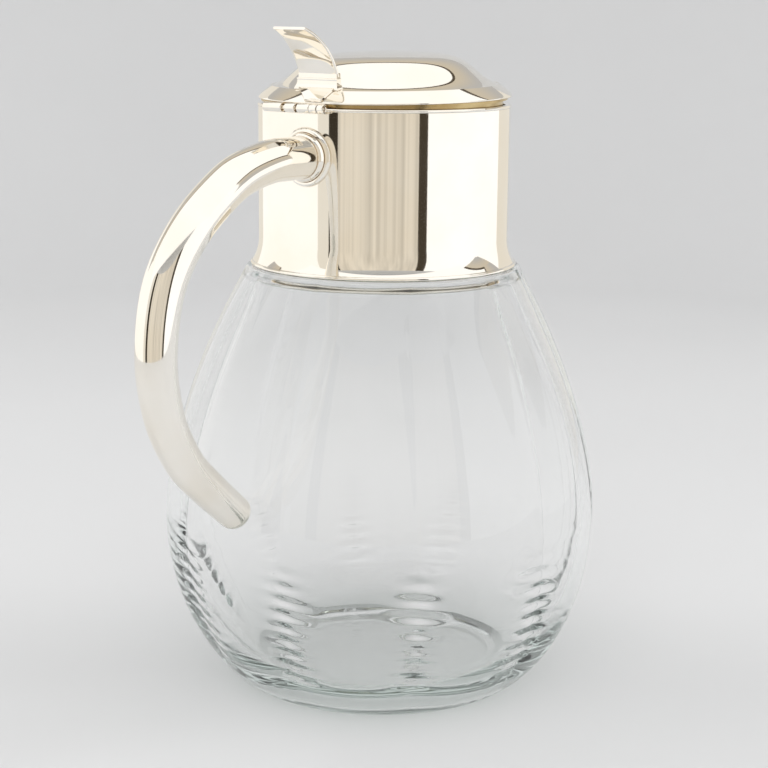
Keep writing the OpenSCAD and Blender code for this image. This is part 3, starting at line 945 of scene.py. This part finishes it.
def build_canopy(name, over0, over1, across0, across1, colour, far_colour, strength):
    """A panel on that sphere that only polished surfaces see; it fades along its short side."""
    rows = max(2, int((over1 - over0) / 2))
    columns = max(2, int((across1 - across0) / 2))
    verts = [canopy_point(mix(over0, over1, i / rows), mix(across0, across1, j / columns))
             for i in range(rows + 1) for j in range(columns + 1)]
    width = columns + 1
    faces = [(i * width + j, i * width + j + 1, (i + 1) * width + j + 1, (i + 1) * width + j)
             for i in range(rows) for j in range(columns)]
    card = make_object(name, verts, faces, card_material(name, colour, strength, fade=True))
    tone = card.data.color_attributes.new(TONE, "FLOAT_COLOR", "POINT")
    upright = across1 - across0 < over1 - over0
    for k, point in enumerate(tone.data):
        t = k % width / columns if upright else k // width / rows
        point.color = [mix(a, b, step01(t)) for a, b in zip(colour, far_colour)] + [1]
    reflected_only(card)


# Lamps: name, azimuth, height, distance from the axis, size, power.
LAMPS = (
    ("key_left", -100, 1.35, 1.1, 0.9, 7.1),
    ("key_right", 95, 1.35, 1.1, 0.9, 6.7),
    ("front_soft", 0, 1.6, 0.7, 1.2, 8.9),
)
SKY = 0.41


def build_lamp(name, azimuth, height, away, size, power):
    """A square lamp aimed at the jug, hidden from mirrors and glass."""
    lamp = bpy.data.lights.new(name, "AREA")
    lamp.shape = "SQUARE"
    lamp.size = size
    lamp.energy = power
    obj = bpy.data.objects.new(name, lamp)
    bpy.context.scene.collection.objects.link(obj)
    obj.location = direction(azimuth) * away + Vector((0, 0, height))
    aim = Vector((0, 0, 0.1)) - obj.location
    obj.rotation_euler = aim.to_track_quat("-Z", "Y").to_euler()
    obj.visible_glossy = False
    obj.visible_transmission = False


def build_studio():
    """Floor, panels, lamps and the even light of the room."""
    build_backdrop()
    for card in CARDS:
        build_card(*card)
    for panel in CANOPY:
        build_canopy(*panel)
    for lamp in LAMPS:
        build_lamp(*lamp)
    world = bpy.data.worlds.new("studio_air")
    bpy.context.scene.world = world
    world.use_nodes = True
    sky = world.node_tree.nodes["Background"]
    sky.inputs["Color"].default_value = (0.985, 0.992, 1.0, 1)
    sky.inputs["Strength"].default_value = SKY


build_studio()


# ---------- camera ----------

# Distance from the jug's axis, height, and the turns that put the lid high in the picture.
CAMERA_AWAY = 0.7240
CAMERA_HEIGHT = COLLAR_TOP + 40.79 * MM
CAMERA_PITCH = math.radians(12.049)
CAMERA_ROLL = math.radians(0.519)
CAMERA_PAN = math.radians(0.061)


def build_camera():
    """An 85 mm lens a little higher than the lid, looking slightly down."""
    lens = bpy.data.cameras.new("camera")
    lens.lens = 85
    lens.sensor_width = 36
    camera = bpy.data.objects.new("camera", lens)
    bpy.context.scene.collection.objects.link(camera)
    pan_s, pan_c = math.sin(CAMERA_PAN), math.cos(CAMERA_PAN)
    dip_s, dip_c = math.sin(CAMERA_PITCH), math.cos(CAMERA_PITCH)
    ahead = Vector((pan_s * dip_c, pan_c * dip_c, -dip_s))
    above = Vector((pan_s * dip_s, pan_c * dip_s, dip_c))
    right = Vector((pan_c, -pan_s, 0))
    roll_s, roll_c = math.sin(CAMERA_ROLL), math.cos(CAMERA_ROLL)
    side = roll_c * right + roll_s * above
    top = -roll_s * right + roll_c * above
    pose = Matrix((side, top, -ahead)).transposed().to_4x4()
    pose.translation = Vector((0, -CAMERA_AWAY, CAMERA_HEIGHT))
    camera.matrix_world = Matrix.Rotation(math.radians(CAMERA_AZIMUTH), 4, "Z") @ pose
    bpy.context.scene.camera = camera


build_camera()
bpy.context.scene.view_settings.view_transform = "Standard"

# Light turns many times inside the thick base before it gets out.
light_paths = bpy.context.scene.cycles
light_paths.max_bounces = 40
light_paths.transmission_bounces = 40
light_paths.glossy_bounces = 24
light_paths.transparent_max_bounces = 24

bpy.context.view_layer.update()
